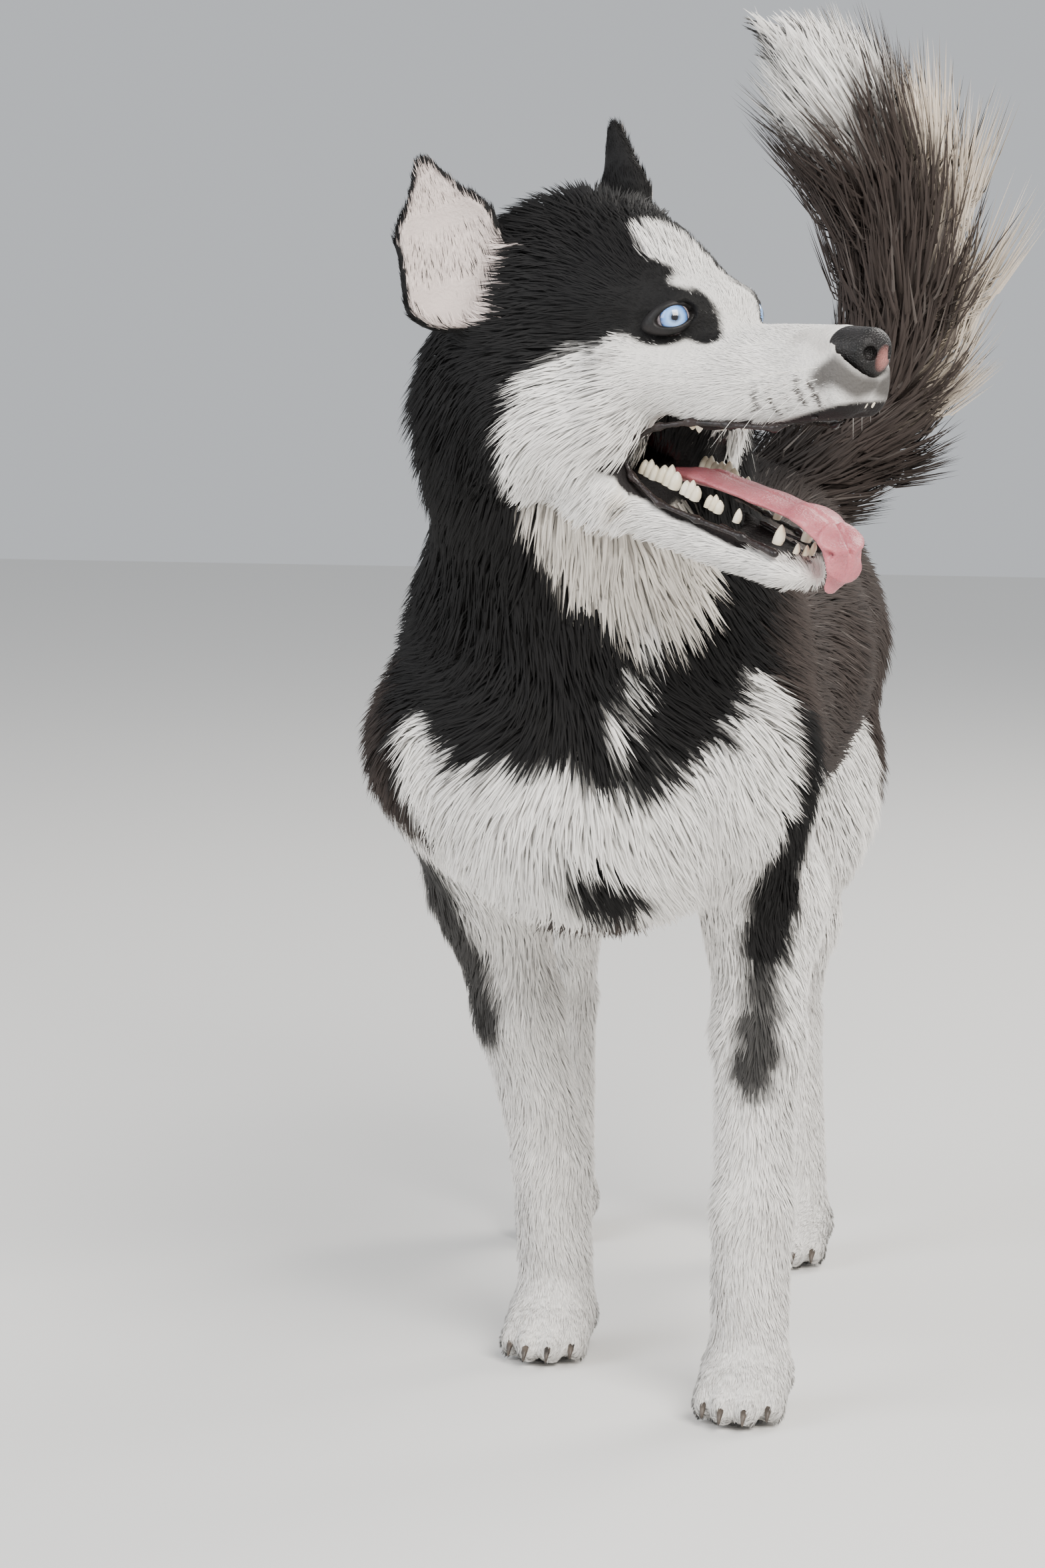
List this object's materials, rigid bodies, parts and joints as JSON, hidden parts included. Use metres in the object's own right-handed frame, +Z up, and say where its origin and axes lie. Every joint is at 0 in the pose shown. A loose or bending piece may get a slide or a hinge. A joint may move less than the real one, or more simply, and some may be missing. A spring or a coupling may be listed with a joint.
{
  "type": "siberian husky",
  "caption": "Life-size still model of a black and white husky standing, head turned, mouth open and tail raised, for display as in a museum.",
  "frame": {"origin": "middle of the whole animal's footprint, on the floor under the soles", "axes": "+Z up, -Y the way the body faces, +X towards the animal's left side"},
  "size_m": [0.3512, 0.7528, 0.8212],
  "materials": {
    "coat_dark": "dense dark brown-black coat with paler guard hairs",
    "coat_pale": "short white to cream coat",
    "nose_leather": "moist black leather with a pink patch in front",
    "mouth_flesh": "wet pink flesh",
    "eye": "clear wet eye with an ice-blue iris"
  },
  "bodies": {
    "root": {"head": "coat_pale", "lower_jaw": "coat_pale", "nose": "nose_leather", "tongue": "mouth_flesh", "eye_left": "eye", "eye_right": "eye", "ear_left": "coat_dark", "ear_right": "coat_dark", "neck": "coat_dark", "torso": "coat_dark", "foreleg_left": "coat_pale", "foreleg_right": "coat_pale", "forepaw_left": "coat_pale", "forepaw_right": "coat_pale", "hindleg_left": "coat_pale", "hindleg_right": "coat_pale", "hindpaw_left": "coat_pale", "hindpaw_right": "coat_pale", "tail": "coat_dark"}
  },
  "joints": []
}
